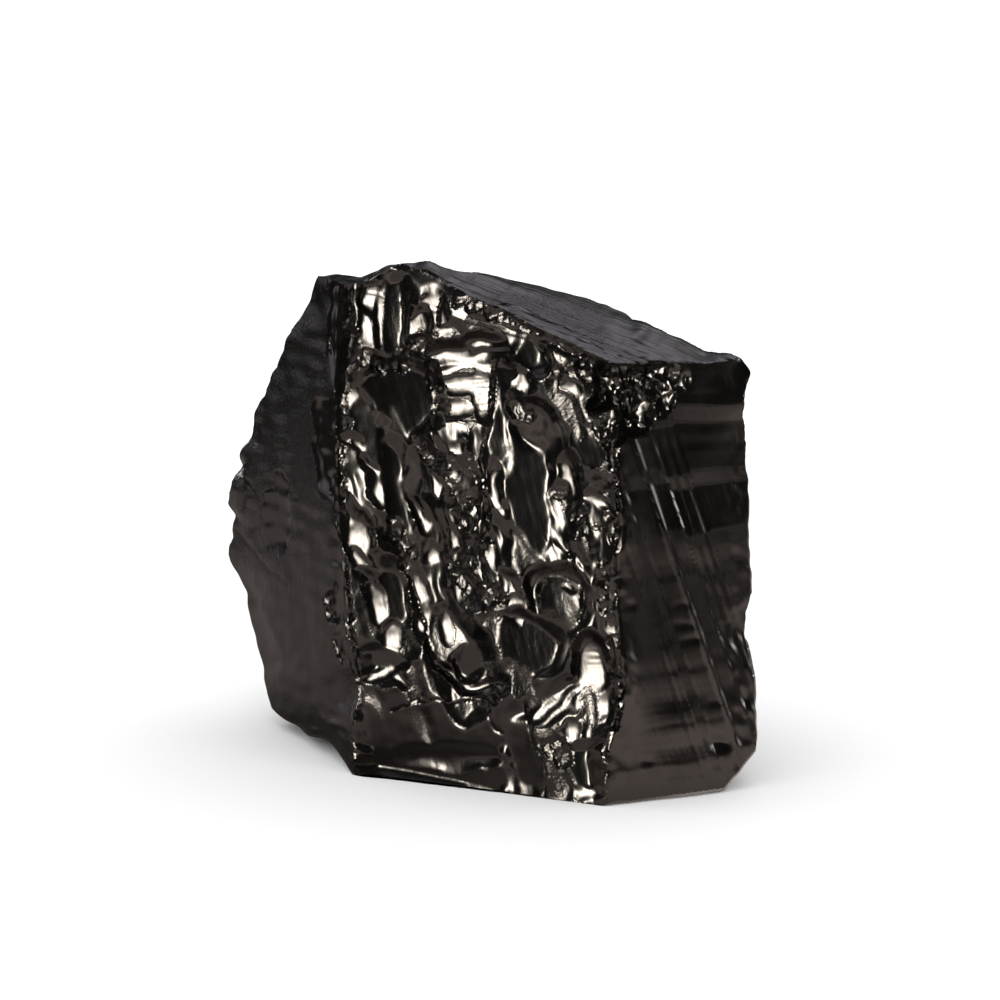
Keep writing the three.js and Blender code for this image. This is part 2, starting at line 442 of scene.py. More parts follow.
# --- cuts into the visible sides

# Slopes of the surface in the main view: how much deeper it gets per pixel to the right and down.
# A surface with this slope mirrors the middle of the key light.
LIGHT_SLOPE = (-0.370, -0.050)
# How far the slope may stray, right and down, before the light leaves the mirror.
LIGHT_SPREAD = (0.075, 0.14)

# The walls of a scar: the slope they start with, and how they steepen.
WALL_SLOPE = 0.7
WALL_CURVE = 0.13

# One scar: where a flake broke off. The bend is how much the slope changes from its middle to its rim,
# the margin is added outside its half width and height, and the corner is how square its outline is.
Cut = namedtuple("Cut", "x y half_width half_height turn bite slope bend margin grain corner")
ROUND = 2
SQUARISH = 2.4
NO_MARGIN = 0
NARROW_MARGIN = 1

# The front's upper edge in the main view.
TOP_EDGE = ((336, 283), (392, 268), (450, 286), (468, 291), (535, 327), (569, 343), (612, 364), (745, 364))
# Random cuts keep their middles at least this far below it.
TOP_EDGE_CLEARANCE = 6

# How far in scars may reach: at the table, and how much more per pixel above it.
TABLE_BITE = 8
TABLE_GROWTH = 1.2
# The same at the front's edges, each with how much more per pixel from it.
EDGE_BITE = 1.6
FRONT_EDGES = (
    (TOP_EDGE, 2.0),
    (((338, 290), (336, 345), (336, 430), (338, 520), (346, 600), (356, 690), (354, 770)), 0.8),
    (((613, 440), (616, 520), (615, 610), (621, 675), (616, 714), (602, 760), (602, 806)), 0.9),
)

# Flakes that broke off at random all over the front, in rows that lean with the stone's grain.
FLAKES = 140
FLAKE_SEED = 5
FLAKE_AREA = ((338, 612), (290, 800))
FLAKE_HALF_WIDTH = (5, 15)
FLAKE_STRETCH = (1.2, 3.2)
FLAKE_BITE = (1.0, 3.0)
FLAKE_MARGIN = (2, 8)
FLAKE_GRAIN = (0.2, 1.0)
# Mean and spread of their lean in degrees and of their slopes. The slopes to the right take turns on
# either side of the key light's.
FLAKE_LEAN = (16, 14)
FLAKE_SLOPES_RIGHT = ((-0.12, 0.08), (-0.62, 0.08), (-0.14, 0.08))
FLAKE_SLOPE_DOWN = (-0.05, 0.05)
FLAKE_BENDS = ((0.05, 0.25), (0.05, 0.15))

# Long thin flutes: middle of the field, half its width and height, lean, and how many.
FLUTES = [
    (366, 478, 20, 46, 22, 14), (372, 575, 22, 55, 18, 14), (412, 545, 12, 50, 16, 10),
    (444, 545, 18, 50, 16, 18), (434, 600, 16, 30, 12, 8), (470, 500, 14, 55, 6, 10),
    (498, 560, 12, 26, 4, 6), (562, 500, 20, 40, 8, 16), (562, 560, 18, 26, 26, 8),
    (596, 560, 12, 46, 0, 8), (556, 712, 22, 16, -55, 14), (600, 630, 12, 22, 0, 5),
    (400, 300, 30, 14, 12, 6), (425, 440, 26, 16, 10, 8),
]
FLUTE_SEED = 4
FLUTE_HALF_WIDTH = (2.0, 4.0)
FLUTE_HALF_HEIGHT = (9, 26)
FLUTE_LEAN_SPREAD = 5
FLUTE_BITE = (0.8, 1.8)
FLUTE_SLOPES = ((-0.24, 0.12), (-0.06, 0.04))
FLUTE_BEND_ACROSS = (0.3, 0.6)
FLUTE_BEND_ALONG = 0.03
FLUTE_GRAIN = 0.2

# Smooth scars: middle, half width and height, turn, bite, slope right and down, how much the slope
# changes from the middle to the rim across and along, and grain.
SCARS = [
    # the left face: smooth patch at the bulge, and the strip at its front edge
    (266, 505, 22, 44, 6, 1.6, -2.1, 0.3, 0.06, 0.06, 0.15),
    (337, 365, 10, 92, -4, 2.6, -1.85, -0.1, 0.05, 0.05, 0.2),
    (330, 500, 9, 56, 6, 2, -1.85, -0.08, 0.05, 0.05, 0.2),
    (306, 500, 13, 80, 3, 1.5, -2.3, 0.08, 0.3, 0.1, 1.2),
    # the pale ledge under the top edge
    (566, 352, 7, 36, 61, 5, 0.35, -1.75, 0, 0, 0.05),
    # the broad bright ground under the blobs
    (430, 330, 18, 30, 60, 4, -0.36, -0.06, 0.16, 0.16, 1.2),
    (466, 388, 26, 34, 0, 4, -0.36, -0.06, 0.16, 0.16, 1.2),
    # the black cave and its neighbours on the left
    (391, 402, 40, 35, 28, 17, -0.02, -0.02, 0.06, 0.06, 0.3),
    (391, 318, 8, 30, 0, 4, -0.1, 0, 0.1, 0.1, 0.4),
    (352, 325, 8, 38, 0, 2, -0.6, 0, 0.1, 0.1, 0.4),
    # the smooth dark bowl under the top edge
    (479, 329, 15, 35, 76, 4, -0.195, 0, 0.05, 0.075, 0.05),
    (524, 345, 11, 20, 20, 4, -0.06, 0, 0.06, 0.06, 0.3),
    (498, 402, 6, 42, 2, 4, -0.02, 0, 0.1, 0.1, 0.2),
    # the broad dark hollow in the middle
    (514, 498, 34, 74, 4, 8, -0.05, -0.04, 0.06, 0.06, 0.25),
    # brown and black facets on the right
    (546, 400, 14, 22, 25, 2, -0.56, 0.24, 0.03, 0.03, 0.05),
    (538, 434, 17, 26, 38, 3, -0.54, 0.24, 0.03, 0.03, 0.05),
    (579, 449, 22, 19, 0, 3, -0.62, 0.1, 0.05, 0.05, 0.1),
    (590, 394, 9, 24, 10, 4, -0.05, 0, 0.06, 0.06, 0.2),
    # leaf facets, the black groove, and the trench between the bright streaks
    (398, 449, 6, 11, 0, 4, -0.52, 0.24, 0.02, 0.02, 0.05),
    (396, 492, 9, 48, 10, 8, -0.02, 0, 0.12, 0.05, 0.2),
    (416, 472, 7, 19, 8, 4, -0.54, 0.24, 0.02, 0.02, 0.05),
    (395, 597, 11, 27, 8, 4, -0.06, -0.02, 0.06, 0.06, 0.3),
    # the dark rough hollow below the middle, and the smooth dome right of it
    (512, 640, 46, 30, -20, 7, -0.04, -0.04, 0.06, 0.06, 0.5),
    (557, 600, 24, 30, 25, 2.5, -0.62, -0.04, -0.42, -0.35, 0.4),
    # small brown facets above the lower panel, and the brown band down from the right
    (471, 658, 11, 16, 0, 4, -0.58, 0.24, 0.03, 0.03, 0.05),
    (388, 657, 9, 18, 90, 3, -0.58, 0.22, 0.04, 0.04, 0.1),
    (566, 664, 9, 48, -45, 3, -0.58, 0.24, 0.04, 0.04, 0.1),
    # the brown lower panel, its pillar, the dark arch and the lens
    (435, 722, 82, 38, 0, 7, -0.54, 0.23, 0.03, 0.05, 0.05),
    (518, 735, 12, 52, 10, 3, -0.54, 0.22, 0.04, 0.04, 0.05),
    (437, 770, 80, 26, 2, 4, -0.62, 0.4, 0.04, 0.06, 0.1),
    (447, 758, 52, 13, 2, 4, -0.56, 0.14, 0.1, 0.34, 0.3),
    (580, 768, 18, 20, 0, 4, -0.1, -0.04, 0.05, 0.05, 0.2),
]

# Dark tongues in the steps of the right face: the same up to the bite, and what follows in all of them.
TONGUES = [
    (625, 583, 9, 4, 0, 0.4), (627, 611, 9, 6, 0, 0.5), (682, 606, 11, 4, 3, 0.4),
    (685, 627, 11, 4, 3, 0.4), (690, 642, 11, 5, 3, 0.5), (714, 705, 9, 3, 3, 0.3),
    (719, 749, 9, 8, 3, 0.6), (646, 762, 8, 5, 3, 0.4),
]
TONGUE_LOOKS = (0.54, -0.06, 0, 0, 0.1)

# Bright chips: the line through the chip's bright middle, its width, and how deep it bites.
CHIPS = [
    (371, 296, 371, 306, 14, 3), (372, 318, 373, 342, 19, 3), (380, 292, 381, 338, 5, 1.5),
    (431, 309, 431, 324, 23, 3), (455, 311, 458, 323, 22, 2.5), (412, 338, 407, 350, 14, 2.5),
    (422, 334, 446, 332, 11, 2.5), (436, 350, 470, 350, 9, 2.5), (440, 360, 480, 358, 8, 3),
    (402, 352, 430, 356, 10, 3), (420, 322, 410, 340, 15, 3.5), (470, 349, 487, 346, 5, 1.2),
    (441, 370, 468, 366, 4, 1.5), (470, 363, 490, 369, 5, 1.5), (443, 385, 466, 385, 15, 2.5),
    (484, 374, 483, 408, 14, 2), (450, 408, 467, 404, 13, 2), (454, 420, 468, 431, 8, 2),
    (505, 388, 517, 378, 11, 2.5), (520, 377, 524, 392, 6, 1.5), (354, 391, 347, 414, 11, 2.5),
    (569, 384, 569, 397, 12, 2), (357, 533, 358, 552, 17, 3), (347, 516, 347, 531, 12, 2.5),
    (363, 573, 378, 583, 8, 1.5), (373, 590, 391, 636, 10, 3), (393, 635, 393, 646, 12, 2.5),
    (411, 565, 418, 585, 11, 2.5), (417, 581, 425, 604, 11, 2.5), (426, 615, 426, 627, 13, 2.5),
    (446, 614, 448, 644, 5, 1.2), (434, 551, 436, 563, 8, 1.5), (452, 570, 466, 585, 8, 2),
    (451, 559, 455, 562, 7, 1.5), (590, 500, 608, 506, 9, 2.5), (570, 514, 586, 514, 8, 2),
    (559, 487, 559, 523, 8, 2.5), (548, 521, 564, 549, 7, 2), (550, 542, 562, 568, 9, 2),
    (570, 474, 573, 497, 11, 1.5), (585, 645, 600, 640, 11, 2.5), (611, 624, 609, 640, 10, 2),
    (591, 660, 592, 684, 22, 4), (604, 698, 605, 713, 14, 2.5), (603, 720, 612, 718, 5, 1.5),
    (532, 718, 560, 698, 8, 2), (540, 722, 568, 704, 6, 1.5), (570, 726, 572, 736, 11, 2.5),
    (552, 748, 562, 762, 8, 2), (577, 793, 592, 793, 11, 2), (602, 604, 612, 604, 9, 2),
    (482, 592, 500, 610, 8, 2), (451, 539, 453, 547, 12, 1.5), (451, 514, 451, 528, 8, 2),
    (440, 485, 442, 497, 8, 2), (454, 472, 454, 484, 8, 2), (454, 448, 454, 453, 15, 1.5),
    (417, 506, 432, 541, 6, 2), (428, 471, 436, 489, 5, 1.5), (357, 555, 363, 569, 10, 2),
    (378, 485, 381, 499, 7, 2), (344, 479, 348, 493, 7, 2), (371, 464, 384, 480, 4, 1),
    (356, 442, 368, 455, 4, 1), (471, 496, 471, 515, 6, 1.5), (494, 478, 495, 519, 6, 1.5),
    (490, 541, 492, 580, 5, 1.5), (514, 602, 515, 615, 6, 1.5), (519, 619, 521, 624, 5, 1.2),
    (529, 601, 529, 608, 5, 1.2), (590, 618, 590, 627, 6, 1.5), (397, 524, 397, 542, 6, 1.5),
    (372, 676, 388, 668, 7, 1.5), (388, 668, 404, 681, 5, 1.5), (451, 676, 470, 686, 4, 1.2),
    (470, 687, 485, 687, 5, 1.2), (483, 669, 485, 675, 5, 1), (640, 388, 642, 392, 7, 1.5),
    (633, 398, 634, 402, 8, 1.5), (638, 409, 641, 411, 6, 1.5), (650, 411, 653, 413, 5, 1.5),
    (679, 373, 680, 381, 6, 1.5), (618, 390, 620, 394, 6, 1.5), (655, 380, 657, 384, 6, 1.5),
    (624, 414, 626, 418, 6, 1.5), (648, 397, 650, 401, 5, 1.5), (667, 376, 668, 380, 5, 1.2),
    (691, 378, 692, 383, 4, 1.2), (562, 581, 569, 589, 4, 0.6),
]
# A chip's true half width as a share of the width of its bright part, its margin and its grain.
CHIP_HALF_WIDTH = 0.42
CHIP_MARGIN = 2
CHIP_MARGIN_SHARE = 1 / 6
CHIP_GRAIN = 0.15

# Rough ridges with many tiny chips: from and to, half width, how many, and how big.
SPARKLES = [
    (458, 297, 540, 334, 5, 46, 1.2), (366, 370, 420, 364, 5, 16, 1), (432, 372, 437, 418, 4, 20, 1),
    (345, 290, 336, 350, 5, 36, 1.3), (344, 352, 338, 440, 6, 50, 1.4),
    (613, 368, 614, 440, 5, 30, 1.4), (340, 440, 338, 520, 6, 30, 1), (360, 362, 372, 352, 6, 12, 1),
    (405, 352, 432, 338, 6, 20, 1), (616, 376, 680, 386, 14, 50, 1.9),
    (618, 380, 646, 422, 18, 50, 1.9), (588, 425, 610, 432, 7, 18, 1), (616, 432, 610, 545, 5, 34, 1),
    (604, 560, 606, 612, 7, 26, 1), (485, 592, 505, 612, 8, 30, 1), (556, 492, 590, 530, 7, 20, 1),
    (450, 560, 470, 600, 5, 16, 1), (545, 745, 572, 765, 9, 26, 1), (352, 620, 360, 690, 2.5, 18, 1),
    (610, 640, 616, 730, 4, 26, 1), (418, 455, 470, 470, 8, 24, 1), (506, 402, 530, 420, 5, 14, 1),
    (555, 372, 612, 378, 4, 22, 1), (322, 600, 340, 660, 3, 10, 1), (450, 480, 475, 560, 8, 30, 1),
    (395, 520, 410, 560, 5, 14, 1),
]
SPARKLE_SEED = 9
SPARKLE_HALF_WIDTH = (1.3, 2.8)
SPARKLE_STRETCH = (1, 2)
SPARKLE_TURN = (-0.8, 0.8)
SPARKLE_BITE = (0.5, 1.1)
SPARKLE_SLOPE_SPREAD = 0.22
SPARKLE_BEND = (0.15, 0.15)
SPARKLE_GRAIN = 0.8

# Fine ripples: middle, half width and height, direction they march in, spacing, and height.
RIPPLES = [
    (484, 392, 13, 27, 6, 4.6, 0.2), (424, 344, 22, 10, 0, 4.2, 0.12), (368, 361, 12, 10, 0, 5, 0.22),
    (548, 710, 18, 16, -50, 4.6, 0.2), (596, 655, 10, 12, 0, 4.5, 0.12),
    (556, 545, 12, 22, -70, 4.8, 0.16),
]

# Smooth dents, and swellings where the depth is below zero: middle, half sizes and depth.
DENTS = [
    (237, 491, 9, 13, -6.0),
    (243, 530, 5, 18, 2.5),
]

# Cracks and creases: their points, half width and depth.
CREASES = [
    (((234, 471), (245, 477), (250, 490), (246, 504), (235, 511)), 1.8, 3.5),
    (((232, 526), (244, 538), (262, 560), (286, 584)), 1.6, 2),
    (((448, 287), (462, 281), (478, 272)), 1.2, 1.2),
    (((443, 296), (441, 312), (439, 326)), 1.3, 1.6),
    (((493, 360), (488, 420), (482, 467), (487, 510), (492, 543)), 1.4, 2),
    (((568, 550), (581, 591), (581, 620)), 1.5, 1.8),
    (((524, 702), (534, 735), (543, 762), (546, 800)), 1.5, 2.2),
    (((345, 560), (352, 622), (362, 690)), 1.4, 1.6),
    (((412, 703), (440, 700), (476, 704), (502, 735)), 1.2, 1),
    (((392, 712), (410, 703), (424, 688)), 1.2, 1.2),
    (((476, 467), (478, 520), (486, 590)), 1.3, 1.4),
    (((402, 560), (418, 600), (432, 650)), 1.3, 1.2),
]


def turned(right, down, angle):
    """Splits offsets into along and across a line at this angle from straight down."""
    along = right * sin(angle) + down * cos(angle)
    across = right * cos(angle) - down * sin(angle)
    return along, across


def scar(row):
    """The cut that one row of numbers stands for."""
    x, y, half_width, half_height, turn, bite, slope_right, slope_down, *bend, grain = row
    slope = (slope_right, slope_down)
    return Cut(x, y, half_width, half_height, radians(turn), bite, slope, bend, NO_MARGIN, grain, SQUARISH)


def chip(row):
    """The cut that mirrors the key light where one row says, and steepens away from it at its rim."""
    from_x, from_y, to_x, to_y, width, bite = row
    angle = atan2(to_x - from_x, to_y - from_y)
    half_width = CHIP_HALF_WIDTH * width
    half_height = hypot(to_x - from_x, to_y - from_y) / 2 + half_width
    bend = (
        hypot(LIGHT_SPREAD[0] * cos(angle), LIGHT_SPREAD[1] * sin(angle)),
        hypot(LIGHT_SPREAD[0] * sin(angle), LIGHT_SPREAD[1] * cos(angle)),
    )
    middle = ((from_x + to_x) / 2, (from_y + to_y) / 2)
    margin = CHIP_MARGIN + width * CHIP_MARGIN_SHARE
    return Cut(*middle, half_width, half_height, angle, bite, LIGHT_SLOPE, bend, margin, CHIP_GRAIN, ROUND)


def top_edge(x):
    """How far down the front's upper edge is."""
    return np.interp(x, *zip(*TOP_EDGE))


def well_below_top_edge(cuts):
    return [cut for cut in cuts if cut.y > top_edge(cut.x) + TOP_EDGE_CLEARANCE]


def random_flakes():
    draw = np.random.default_rng(FLAKE_SEED)
    for slope_right in islice(cycle(FLAKE_SLOPES_RIGHT), FLAKES):
        half_width = draw.uniform(*FLAKE_HALF_WIDTH)
        yield Cut(
            draw.uniform(*FLAKE_AREA[0]), draw.uniform(*FLAKE_AREA[1]),
            half_width, half_width * draw.uniform(*FLAKE_STRETCH),
            radians(draw.normal(*FLAKE_LEAN)), draw.uniform(*FLAKE_BITE),
            (draw.normal(*slope_right), draw.normal(*FLAKE_SLOPE_DOWN)),
            (draw.uniform(*FLAKE_BENDS[0]), draw.uniform(*FLAKE_BENDS[1])),
            draw.uniform(*FLAKE_MARGIN), draw.uniform(*FLAKE_GRAIN), ROUND,
        )


def flutes():
    draw = np.random.default_rng(FLUTE_SEED)
    for x, y, half_width, half_height, lean, count in FLUTES:
        for _ in range(count):
            yield Cut(
                x + draw.uniform(-half_width, half_width), y + draw.uniform(-half_height, half_height),
                draw.uniform(*FLUTE_HALF_WIDTH), draw.uniform(*FLUTE_HALF_HEIGHT),
                radians(draw.normal(lean, FLUTE_LEAN_SPREAD)), draw.uniform(*FLUTE_BITE),
                (draw.normal(*FLUTE_SLOPES[0]), draw.normal(*FLUTE_SLOPES[1])),
                (draw.uniform(*FLUTE_BEND_ACROSS), FLUTE_BEND_ALONG),
                NARROW_MARGIN, FLUTE_GRAIN, ROUND,
            )


def sparkle_chips():
    draw = np.random.default_rng(SPARKLE_SEED)
    for from_x, from_y, to_x, to_y, spread, count, size in SPARKLES:
        for _ in range(count):
            share = draw.uniform()
            half_width = size * draw.uniform(*SPARKLE_HALF_WIDTH)
            yield Cut(
                from_x + share * (to_x - from_x) + draw.normal(0, spread / 2),
                from_y + share * (to_y - from_y) + draw.normal(0, spread / 2),
                half_width, half_width * draw.uniform(*SPARKLE_STRETCH),
                draw.uniform(*SPARKLE_TURN), draw.uniform(*SPARKLE_BITE),
                tuple(draw.normal(slope, SPARKLE_SLOPE_SPREAD) for slope in LIGHT_SLOPE),
                SPARKLE_BEND, NARROW_MARGIN, SPARKLE_GRAIN, ROUND,
            )


def cut_depth(cut, start, offsets, wavy_offsets):
    """Depth of one scar's surface at offsets from its middle in the main view."""
    along, across = turned(*wavy_offsets, cut.turn)
    tilt = cut.slope[0] * offsets[0] + cut.slope[1] * offsets[1]
    bend = cut.bend[0] / cut.half_width * across ** 2 + cut.bend[1] / cut.half_height * along ** 2
    share_across = abs(across) / (cut.half_width + cut.margin)
    share_along = abs(along) / (cut.half_height + cut.margin)
    reach = (share_across ** cut.corner + share_along ** cut.corner) ** (1 / cut.corner)
    beyond = np.clip(reach - 1, 0, None) * (cut.half_width + cut.margin)
    return start + cut.bite + tilt - bend / 2 - WALL_SLOPE * beyond - WALL_CURVE * beyond ** 2


def line_distance(x, y, points):
    """How far places are from a bent line."""
    nearest = np.full(len(x), np.inf)
    for (from_x, from_y), (to_x, to_y) in zip(points, points[1:]):
        step_x, step_y = to_x - from_x, to_y - from_y
        share = ((x - from_x) * step_x + (y - from_y) * step_y) / (step_x ** 2 + step_y ** 2)
        share = np.clip(share, 0, 1)
        gap = np.hypot(x - from_x - share * step_x, y - from_y - share * step_y)
        nearest = np.minimum(nearest, gap)
    return nearest


def bite_limit(x, y, depth):
    """How far in scars may reach: less near the front's edges, above its top edge and near the table."""
    limit = TABLE_BITE + TABLE_GROWTH * from_pixels(x, y, depth)[:, 2] / PIXEL
    for edge, growth in FRONT_EDGES:
        limit = np.minimum(limit, EDGE_BITE + growth * line_distance(x, y, edge))
    return np.where(y < top_edge(x), EDGE_BITE / 2, limit)


def soften(bite, amount, sides, rounds):
    """Draws each point's bite towards the mean of its neighbours' bites, round after round."""
    count = len(bite)
    neighbours = np.bincount(sides.ravel(), minlength=count)
    for _ in range(rounds):
        total = np.bincount(sides[:, 0], bite[sides[:, 1]], count)
        total += np.bincount(sides[:, 1], bite[sides[:, 0]], count)
        bite = bite + amount * (total / neighbours - bite)
    return bite


# Random waves that make the scars' outlines irregular, to the right and down.
WOBBLE_RIGHT = ((2.8, 45, 3), (1.0, 13, 4), (0.3, 6, 13))
WOBBLE_DOWN = ((2.8, 45, 5), (1.0, 13, 6), (0.3, 6, 14))
# How far from its middle a cut may change points: this many times its size, and this much more.
CUT_REACH = 1.6
CUT_REACH_MORE = 12
# How strongly scars are softened, in full where the bite limit is beyond this span.
SOFTNESS = 0.5
SOFT_SPAN = (2, 8)


def cut_scars(spots, wavy_spots, depth, sides):
    """Bites the scars in, one after another. Returns the new depth and the grain that each point gets."""
    # Each stage of cuts: the share of the bite limit that it may use up, so that later ones still show,
    # the rounds of softening that follow, and the cuts.
    stages = (
        (0.4, 0, well_below_top_edge([*random_flakes(), *flutes()])),
        (0.8, 5, [scar(row) for row in SCARS] + [scar(row + TONGUE_LOOKS) for row in TONGUES]),
        (1.0, 2, [chip(row) for row in CHIPS]),
        (1.1, 0, well_below_top_edge(sparkle_chips())),
    )
    x, y = spots
    unbroken = depth.copy()
    limit = bite_limit(x, y, depth)
    softness = SOFTNESS * smooth_step(limit, *SOFT_SPAN)
    grain = np.ones(len(x))
    for share, rounds, cuts in stages:
        for cut in cuts:
            radius = CUT_REACH * (max(cut.half_width, cut.half_height) + cut.margin) + CUT_REACH_MORE
            near = np.flatnonzero((abs(x - cut.x) < radius) & (abs(y - cut.y) < radius))
            middle = near[np.argmin(np.hypot(x[near] - cut.x, y[near] - cut.y))]
            offsets = spots[:, near] - spots[:, [middle]]
            wavy_offsets = wavy_spots[:, near] - wavy_spots[:, [middle]]
            deeper = cut_depth(cut, depth[middle], offsets, wavy_offsets)
            wins = deeper > depth[near]
            depth[near[wins]] = deeper[wins]
            grain[near[wins]] = cut.grain
        bite = np.minimum(depth - unbroken, share * limit)
        depth = unbroken + soften(bite, softness, sides, rounds)
    return depth, grain


def add_marks(x, y, wavy_x, wavy_y, depth):
    """Adds the creases, dents and ripples to the depths."""
    for points, half_width, crease_depth in CREASES:
        gap = line_distance(wavy_x, wavy_y, points)
        depth += crease_depth * np.exp(-(gap / half_width) ** 2)
    for *place, dent_depth in DENTS:
        depth += dent_depth * blot(x, y, *place)
    for *place, turn, spacing, height in RIPPLES:
        along, _ = turned(wavy_x, wavy_y, radians(turn))
        depth += height * blot(x, y, *place) * np.sin(2 * pi * along / spacing)


# Spans of x, and for the top of y, over which the grain of the front and the left face comes or goes.
FRONT_LEFT_END = (334, 346)
FRONT_RIGHT_END = (602, 614)
FRONT_TOP_END = (285, 300)
LEFT_FACE_END = (336, 326)
# The front's grain runs along the flakes. The left face's streaks lean down to the bend, and are
# upright below it.
FRONT_GRAIN = ((0.20, 10, 7), (0.07, 5, 15))
FRONT_GRAIN_STRETCH = 5
LEFT_GRAIN = ((0.30, 5, 19),)
LEFT_GRAIN_STRETCH = 25
LEFT_GRAIN_LEAN = 0.36
LEFT_GRAIN_BEND = 450
SWELLS = ((0.05, 22, 8),)
CHIPPING_RANGE = (0.1, 1.2)


def carve(x, y, depth, sides):
    """Cuts all marks into the sides that the main view shows. Also returns how finely they are chipped."""
    places = np.column_stack([x, y])
    wavy_x = x + layered_waves(places, WOBBLE_RIGHT)
    wavy_y = y + layered_waves(places, WOBBLE_DOWN)
    depth, grain = cut_scars(np.array([x, y]), np.array([wavy_x, wavy_y]), depth, sides)
    add_marks(x, y, wavy_x, wavy_y, depth)
    along, across = turned(x, y, radians(FLAKE_LEAN[0]))
    flow = np.column_stack([across, along / FRONT_GRAIN_STRETCH])
    front = smooth_step(x, *FRONT_LEFT_END) - smooth_step(x, *FRONT_RIGHT_END)
    front *= smooth_step(y, *FRONT_TOP_END)
    depth += grain * front * layered_waves(flow, FRONT_GRAIN)
    left = smooth_step(x, *LEFT_FACE_END)
    leaning_x = x + LEFT_GRAIN_LEAN * np.minimum(y, LEFT_GRAIN_BEND)
    streaks = np.column_stack([leaning_x, y / LEFT_GRAIN_STRETCH])
    depth += grain * left * layered_waves(streaks, LEFT_GRAIN)
    depth += (front + left) * layered_waves(places, SWELLS)
    return depth, np.clip(grain * (front + left), *CHIPPING_RANGE)


# --- the right face's ripples

# The face tips up and down in bands, like the steps of a slow fracture. Each row: how far down the
# face, in pixels where x is BAND_X, and the extra slope down from there on. Tipping down shows the table.
BAND_X = 735
BANDS = [
    (360, -0.14), (385, -0.14), (387, -0.05), (392, -0.05), (394, -0.14), (402, -0.14), (404, 0.2),
    (420, 0.2), (423, -0.12), (430, -0.12), (433, -0.05), (440, -0.05), (443, -0.12), (448, -0.12),
    (452, -0.07), (466, -0.07), (469, 0.18), (480, 0.18), (483, -0.14), (524, -0.14), (530, 0.04),
    (540, 0.04), (544, 0.11), (556, 0.11), (566, 0.02), (570, -0.05), (576, 0.03), (586, 0.03),
    (592, -0.03), (608, -0.01), (612, -0.06), (618, -0.01), (630, -0.03), (634, -0.07), (642, -0.03),
    (651, 0.03), (658, 0.03), (664, -0.06), (672, 0.02), (686, 0.02), (694, -0.06), (702, -0.1),
    (708, -0.04), (714, -0.02), (718, -0.06), (726, 0.02), (734, 0.02), (742, -0.05), (752, -0.09),
    (758, -0.03), (766, -0.01), (770, -0.05), (778, -0.02), (800, -0.02),
]
# How steeply the bands climb to the right, at the top and at the foot of the face.
BAND_CLIMB = ((365, 0.0), (480, 0.09), (600, 0.15), (800, 0.16))

# Straight diagonal steps: how far right of the first one, half width, and height.
HACKLE_TOP = (632, 435)
HACKLE_LEAN = 0.34
HACKLES = [
    (0, 3, 1.35), (18, 1.8, 0.25), (22, 1.8, -0.25), (27, 1.8, 0.25), (32, 1.8, -0.25), (37, 2.2, 0.3),
    (42, 2, -0.35), (-24, 3, -0.4), (-33, 2, 0.25), (-44, 2.2, -0.4),
]
# The bands are shifted down in each strip between steps: where the strip starts, right of the first
# step, and how far its bands are shifted.
PANELS = ((-60, 0), (-34, 4), (-24, 0), (-2, 5), (20, -3), (45, 0))

# Left end of the right face.
RIGHT_FACE_EDGE = (
    (363, 612), (440, 612), (520, 617), (571, 615), (610, 613),
    (675, 621), (714, 617), (755, 601), (806, 601),
)

# The relief fades in over this many pixels from there. Its bands are weaker at their left.
RIGHT_FACE_FADE = 7
WEAK_BANDS = 0.45
WEAK_BANDS_SPAN = (640, 700)
BAND_WAVES = ((1.2, 60, 16),)
RULER_STEP = 0.5
# Fine dashes along the bands, stronger over the span where the face's lower part starts, and fine
# streaks along the diagonal steps.
DASHES = ((0.014, 7, 17),)
LOW_DASHES = ((0.016, 7, 17),)
LOW_SPAN = (500, 560)
DASH_STRETCH = 30
STREAKS = ((0.02, 5, 18),)
STREAK_STRETCH = 12
HACKLE_START = (425, 445)


def right_face_relief(x, y):
    """Extra depth of the rippled right face."""
    edge_y, edge_x = np.array(RIGHT_FACE_EDGE, float).T
    inside = smooth_step(x - np.interp(y, edge_y, edge_x), 0, RIGHT_FACE_FADE)
    lean = x - HACKLE_LEAN * (y - HACKLE_TOP[1]) - HACKLE_TOP[0]
    places = np.column_stack([x, y])
    starts, shifts = np.array(PANELS).T
    panel = np.clip(np.searchsorted(starts, lean) - 1, 0, len(PANELS) - 1)
    climb_y, climb = np.array(BAND_CLIMB).T
    level = y + np.interp(y, climb_y, climb) * (x - BAND_X)
    level += shifts[panel] + layered_waves(places, BAND_WAVES)
    band_y, band_slope = np.array(BANDS).T
    ruler = np.arange(band_y[0], band_y[-1], RULER_STEP)
    heights = np.cumsum(np.interp(ruler, band_y, band_slope)) * RULER_STEP
    relief = np.interp(level, ruler, heights)
    relief *= WEAK_BANDS + (1 - WEAK_BANDS) * smooth_step(x, *WEAK_BANDS_SPAN)
    dashes = np.column_stack([lean / DASH_STRETCH, level])
    relief += layered_waves(dashes, DASHES)
    relief += smooth_step(y, *LOW_SPAN) * layered_waves(dashes, LOW_DASHES)
    relief += layered_waves(np.column_stack([lean, y / STREAK_STRETCH]), STREAKS)
    zone = smooth_step(y, *HACKLE_START)
    for at, half_width, height in HACKLES:
        relief -= zone * height * np.exp(-((lean - at) / half_width) ** 2)
    return inside * relief


# --- the stone's fine shape


def point_normals(places, triangles):
    a, b, c = (places[triangles[:, i]] for i in range(3))
    areas = np.cross(b - a, c - a)
    normals = np.zeros_like(places)
    for i in range(3):
        np.add.at(normals, triangles[:, i], areas)
    return normals / np.linalg.norm(normals, axis=1)[:, None]


